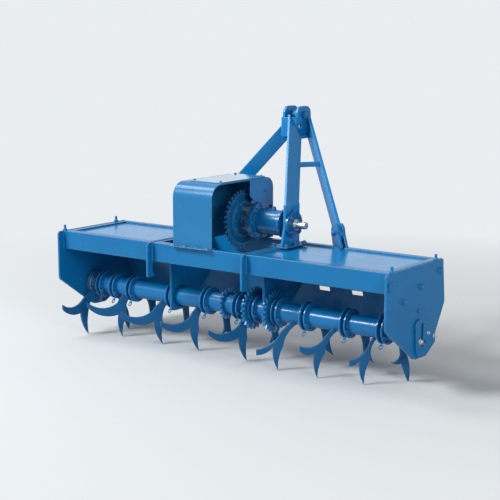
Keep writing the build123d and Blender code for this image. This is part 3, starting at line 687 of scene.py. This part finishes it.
def makeMastFittings():
    bm = bmesh.new()
    look = mastFittings
    boltLow, boltHigh = boxOf["clevis_bolt"]
    boltY = (boltLow.y + boltHigh.y) / 2
    boltZ = (boltLow.z + boltHigh.z) / 2
    for side, x in ((-1, boltLow.x), (1, boltHigh.x)):
        addRod(bm, (x - side * look["nutLap"], boltY, boltZ), (side, 0, 0), look["nutRadius"],
               look["nutHeight"], 6, look["ease"])
        addRod(bm, (x, boltY, boltZ), (side, 0, 0), look["endRadius"], look["endLength"], 20,
               look["ease"])
    clevisLow, clevisHigh = boxOf["clevis_plates"]
    width, height = look["doubler"]
    y = clevisHigh.y - look["doublerIn"]
    z = clevisLow.z + look["doublerRise"]
    for side, face in ((-1, clevisLow.x), (1, clevisHigh.x)):
        outside = face + side * look["doublerThickness"]
        xs = sorted((face - side * look["doublerLap"], outside))
        addPlate(bm, (xs[0], y - width / 2, z - height / 2), (xs[1], y + width / 2, z + height / 2))
        for rise in look["boltRises"]:
            addBolt(bm, (outside, y, z + rise), (side, 0, 0), look["boltSize"])
    bridgeLow, bridgeHigh = boxOf["clevis_bridge"]
    for x in (bridgeLow.x, bridgeHigh.x):
        addWeld(bm, (x, bridgeHigh.y, bridgeLow.z), (x, bridgeHigh.y, bridgeHigh.z), look["weld"])
    braceX = boxOf["mast_brace"][0].x + look["weldInset"]
    addWeld(bm, (braceX, bridgeLow.y, bridgeHigh.z), (bridgeHigh.x, bridgeLow.y, bridgeHigh.z),
            look["weld"])
    newPiece("mastFittings", bm, "frame", "platePaint")


# rotor: seams beside the collars, bolts through each pair, and a pin with a split ring under it
ringFittings = {
    "seam": 0.004,
    "boltSize": 0.008,
    "boltReach": 0.061,
    "boltTurns": (205, 250, 330),
    "pinTurn": 238,
    "pinReach": 0.066,
    "pinRadius": 0.004,
    "pinLength": 0.020,
    "pinEase": 0.001,
    "clipOut": 0.022,
    "clipLean": 0.35,
    "clipRadius": 0.012,
    "clipWire": 0.0024,
}


def ringFaces():
    # the outer faces of each pair of collars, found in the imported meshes: a pair has four faces
    faces = []
    for name in ("tine_collars_left", "tine_collars_middle", "tine_collars_right"):
        xs = sorted({round(vert.co.x, 3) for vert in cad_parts[name].data.vertices})
        for index in range(0, len(xs), 4):
            faces.append((xs[index], xs[index + 3]))
    return faces


def makeRingFittings():
    bm = bmesh.new()
    look = ringFittings
    pairs = ringFaces()
    for low, high in pairs:
        for x in (low, high):
            addRing(bm, (x, rotorY, rotorZ), (1, 0, 0), tubeRadius, look["seam"], 36, 6)
        for turn in look["boltTurns"]:
            angle = radians(turn)
            y = rotorY + look["boltReach"] * cos(angle)
            z = rotorZ + look["boltReach"] * sin(angle)
            addBolt(bm, (high, y, z), (1, 0, 0), look["boltSize"])
            addBolt(bm, (low, y, z), (-1, 0, 0), look["boltSize"])
        # pin between the rings with a split ring through its end
        angle = radians(look["pinTurn"])
        y = rotorY + look["pinReach"] * cos(angle)
        z = rotorZ + look["pinReach"] * sin(angle)
        out = Vector((0, cos(angle), sin(angle)))
        foot = Vector(((low + high) / 2, y, z))
        addRod(bm, foot, out, look["pinRadius"], look["pinLength"], 12, look["pinEase"])
        addRing(bm, foot + out * look["clipOut"], (look["clipLean"], -out.z, out.y),
                look["clipRadius"], look["clipWire"], 24, 8)
    newPiece("ringFittings", bm, "rotor", "rotorPaint")
    print("pairs of rings:", len(pairs))


# raised face of the drive disc: round plate inside the teeth, step, two rims and a bolt circle
discFace = {
    "rootShare": 0.905,
    "inset": 0.010,
    "plate": 0.004,
    "ease": 0.0015,
    "rimInset": 0.004,
    "rimWire": 0.0035,
    "stepRadius": 0.092,
    "step": 0.005,
    "stepWire": 0.003,
    "bolts": 10,
    "boltReach": 0.079,
    "boltSize": 0.005,
}


def makeDiscFace():
    bm = bmesh.new()
    look = discFace
    low, high = boxOf["drive_disc"]
    y, z = (low.y + high.y) / 2, (low.z + high.z) / 2
    outer = (high.z - low.z) / 2 * look["rootShare"]
    x = low.x + look["inset"]
    # each layer: radius, thickness, wire of its rim, sides
    for radius, thickness, rimWire, sides in (
            (outer, look["plate"], look["rimWire"], 72),
            (look["stepRadius"], look["step"], look["stepWire"], 48)):
        addRod(bm, (x, y, z), (1, 0, 0), radius, thickness, sides, look["ease"])
        x += thickness
        addRing(bm, (x, y, z), (1, 0, 0), radius - look["rimInset"], rimWire, sides)
    for index in range(look["bolts"]):
        turn = 2 * pi * index / look["bolts"]
        place = (x, y + look["boltReach"] * cos(turn), z + look["boltReach"] * sin(turn))
        addBolt(bm, place, (1, 0, 0), look["boltSize"])
    newPiece("discFace", bm, "input", "discPaint")


# inner plates: a tongue in front and the ring plate behind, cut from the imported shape
hangerCut = {
    "tongueDrop": 0.172,
    "ringReach": 0.072,
    "round": 0.013,
    "tongueDepth": 0.05,
    "mergeBelow": 0.00005,
    "cutBelow": 0.00001,
    "onCut": 0.0002,
    "acrossPlate": 0.008,
}


def makeHanger(side):
    node = "hanger_" + side
    look = hangerCut
    bm = bmesh.new()
    bm.from_mesh(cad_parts[node].data)
    bmesh.ops.remove_doubles(bm, verts=bm.verts[:], dist=look["mergeBelow"])
    cutZ = deckZ - look["tongueDrop"]
    cutY = rotorY - look["ringReach"]
    for point, normal in (((0, 0, cutZ), (0, 0, 1)), ((0, cutY, 0), (0, 1, 0))):
        bmesh.ops.bisect_plane(bm, geom=bm.verts[:] + bm.edges[:] + bm.faces[:],
                               dist=look["cutBelow"], plane_co=point, plane_no=normal)
    below = [face for face in bm.faces
             if face.calc_center_median().z < cutZ and face.calc_center_median().y < cutY]
    bmesh.ops.delete(bm, geom=below, context="FACES")
    rims = [edge for edge in bm.edges if edge.is_boundary]
    bmesh.ops.holes_fill(bm, edges=rims, sides=0)
    # round the tongue's lower corners
    corners = [edge for edge in bm.edges
               if all(abs(vert.co.z - cutZ) < look["onCut"] for vert in edge.verts)
               and abs(edge.verts[0].co.x - edge.verts[1].co.x) > look["acrossPlate"]
               and edge.verts[0].co.y < nearY + look["tongueDepth"]]
    easeEdges(bm, corners, look["round"])
    piece = newPiece("hangerPlate_" + side, bm, "frame", "platePaint")
    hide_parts(node)


# side flap that closes the apron's left end against the end plate, with a rolled rim
flapSet = {
    "radius": 0.2960,
    "inner": 0.150,
    "thickness": 0.002,
    "gap": 0.0002,
    "below": 0.066,
    "underPan": 0.01,
    "rimRadius": 0.2965,
    "rimWidth": 0.0066,
    "rimShare": 0.7,
    "rimStart": -12.6,
    "rimSweep": 58.0,
    "cutBelow": 0.00001,
}


def makeFlap():
    bm = bmesh.new()
    look = flapSet
    sheet = bmesh.new()
    place = Matrix.Translation((look["gap"] - innerX, rotorY, rotorZ))
    bmesh.ops.create_circle(sheet, cap_ends=True, segments=96, radius=look["radius"],
                            matrix=place @ Matrix.Rotation(pi / 2, 4, "Y"))
    cuts = (((0, rotorY + look["inner"], 0), (0, -1, 0)),
            ((0, 0, rotorZ - look["below"]), (0, 0, -1)),
            ((0, 0, panLow.z - look["underPan"]), (0, 0, 1)))
    for point, normal in cuts:
        bmesh.ops.bisect_plane(sheet, geom=sheet.verts[:] + sheet.edges[:] + sheet.faces[:],
                               dist=look["cutBelow"], plane_co=point, plane_no=normal,
                               clear_outer=True)
    made = bmesh.ops.extrude_face_region(sheet, geom=sheet.faces[:])
    moved = [item for item in made["geom"] if isinstance(item, bmesh.types.BMVert)]
    bmesh.ops.translate(sheet, verts=moved, vec=(look["thickness"], 0, 0))
    joinShape(bm, sheet)
    # rolled rim, a square of wire swept about the rotor's axis
    rim = bmesh.new()
    start, sweep = radians(look["rimStart"]), radians(look["rimSweep"])
    place = Vector((look["rimWidth"] / 2 - innerX, rotorY + look["rimRadius"] * cos(start),
                    rotorZ + look["rimRadius"] * sin(start)))
    bmesh.ops.create_circle(rim, cap_ends=False, segments=4,
                            radius=look["rimWidth"] * look["rimShare"],
                            matrix=Matrix.Translation(place) @ Matrix.Rotation(pi / 4, 4, "Y")
                            @ Matrix.Rotation(pi / 2, 4, "X"))
    bmesh.ops.spin(rim, geom=rim.verts[:] + rim.edges[:], cent=(0, rotorY, rotorZ),
                   axis=(1, 0, 0), dvec=(0, 0, 0), angle=sweep, steps=30, use_merge=False,
                   use_duplicate=False)
    bmesh.ops.holes_fill(rim, edges=[edge for edge in rim.edges if edge.is_boundary], sides=0)
    joinShape(bm, rim)
    newPiece("apronFlap", bm, "frame", "deckPaint")


# bolts through the strut feet: pivot of the right one, and its near face's direction
footBolts = {
    "pivot": (0.410, 0.117, 0.631),
    "face": (-0.585, -0.811),
    "reach": 0.0195,
    "size": 0.013,
}


def makeFootBolts():
    bm = bmesh.new()
    x, y, z = footBolts["pivot"]
    faceX, faceY = footBolts["face"]
    for side in (-1, 1):
        for way in (-1, 1):
            out = Vector((way * side * faceX, way * faceY, 0))
            foot = Vector((side * x, y, z)) + out * footBolts["reach"]
            addBolt(bm, foot, out, footBolts["size"])
    newPiece("strutFootBolts", bm, "frame", "platePaint")


makeHanger("left")
makeHanger("right")
makeFlap()
print("inner plates and flap made")
makeFootBolts()
makeEndFittings()
makeSkidFittings()
makeDeckWelds()
makeGuardFittings()
makeShaftFittings()
makeMastFittings()
makeDiscFace()
makeRingFittings()
print("fittings made")

# floor, backdrop and light
stageSet = {
    "floorSize": 60.0,
    "floorColour": (0.565, 0.591, 0.606, 1),
    "backColour": (0.815, 0.848, 0.876, 1),
    "fadeStart": 1.5,
    "fadeEnd": 4.0,
    "worldStrength": 0.35,
    "floorRoughness": 0.9,
}


def straightRays(tree, rays):
    # 1 for the camera's own rays and for what mirrors or lets them through, 0 for scattered light
    first = addNode(tree, "ShaderNodeMath", operation="MAXIMUM")
    wire(tree, rays.outputs["Is Camera Ray"], first.inputs[0])
    wire(tree, rays.outputs["Is Glossy Ray"], first.inputs[1])
    both = addNode(tree, "ShaderNodeMath", operation="MAXIMUM")
    wire(tree, first.outputs[0], both.inputs[0])
    wire(tree, rays.outputs["Is Transmission Ray"], both.inputs[1])
    return both.outputs[0]


def makeFloor():
    material, tree, shader, place = newMaterial("floorPaper")
    shader.inputs["Roughness"].default_value = stageSet["floorRoughness"]
    shader.inputs["Base Color"].default_value = stageSet["floorColour"]
    # far from the object the floor turns into the flat backdrop
    length = addNode(tree, "ShaderNodeVectorMath", operation="LENGTH")
    wire(tree, place, length.inputs[0])
    fade = mapValue(tree, length.outputs["Value"], stageSet["fadeStart"], stageSet["fadeEnd"], 0, 1)
    glow = addNode(tree, "ShaderNodeEmission", {"Color": stageSet["backColour"], "Strength": 1.0})
    rays = addNode(tree, "ShaderNodeLightPath")
    seen = addNode(tree, "ShaderNodeMath", operation="MULTIPLY")
    wire(tree, fade, seen.inputs[0])
    wire(tree, straightRays(tree, rays), seen.inputs[1])
    mix = addNode(tree, "ShaderNodeMixShader")
    wire(tree, seen.outputs[0], mix.inputs[0])
    wire(tree, shader.outputs[0], mix.inputs[1])
    wire(tree, glow.outputs[0], mix.inputs[2])
    wire(tree, mix.outputs[0], tree.nodes["Material Output"].inputs["Surface"])
    bm = bmesh.new()
    bmesh.ops.create_grid(bm, x_segments=1, y_segments=1, size=stageSet["floorSize"] / 2)
    mesh = bpy.data.meshes.new("floor")
    bm.to_mesh(mesh)
    bm.free()
    mesh.materials.append(material)
    floor = bpy.data.objects.new("floor", mesh)
    scene.collection.objects.link(floor)


def makeWorld():
    world = bpy.data.worlds.new("studio")
    world.use_nodes = True
    tree = world.node_tree
    light = tree.nodes["Background"]
    light.inputs["Color"].default_value = (1, 1, 1, 1)
    light.inputs["Strength"].default_value = stageSet["worldStrength"]
    back = addNode(tree, "ShaderNodeBackground", {"Color": stageSet["backColour"], "Strength": 1.0})
    rays = addNode(tree, "ShaderNodeLightPath")
    mix = addNode(tree, "ShaderNodeMixShader")
    wire(tree, straightRays(tree, rays), mix.inputs[0])
    wire(tree, light.outputs[0], mix.inputs[1])
    wire(tree, back.outputs[0], mix.inputs[2])
    wire(tree, mix.outputs[0], tree.nodes["World Output"].inputs["Surface"])
    scene.world = world


# round soft lamps, all aimed at one point: place, size across and watts
lamps = {
    "keyLight": {"place": (-5.9, -8.5, 8.2), "size": 4.2, "watts": 1750},
    "topLight": {"place": (-3.6, -1.0, 5.6), "size": 2.2, "watts": 120},
    "sideLight": {"place": (6.6, -3.6, 3.0), "size": 3.0, "watts": 210},
}
lampAim = (0, 0, 0.5)


def makeLamps():
    for name, look in lamps.items():
        data = bpy.data.lights.new(name, "AREA")
        data.shape = "DISK"
        data.size = look["size"]
        data.energy = look["watts"]
        lamp = bpy.data.objects.new(name, data)
        lamp.location = look["place"]
        aim = Vector(lampAim) - Vector(look["place"])
        lamp.rotation_euler = aim.to_track_quat("-Z", "Y").to_euler()
        scene.collection.objects.link(lamp)


makeFloor()
makeWorld()
makeLamps()
print("stage and lamps set")
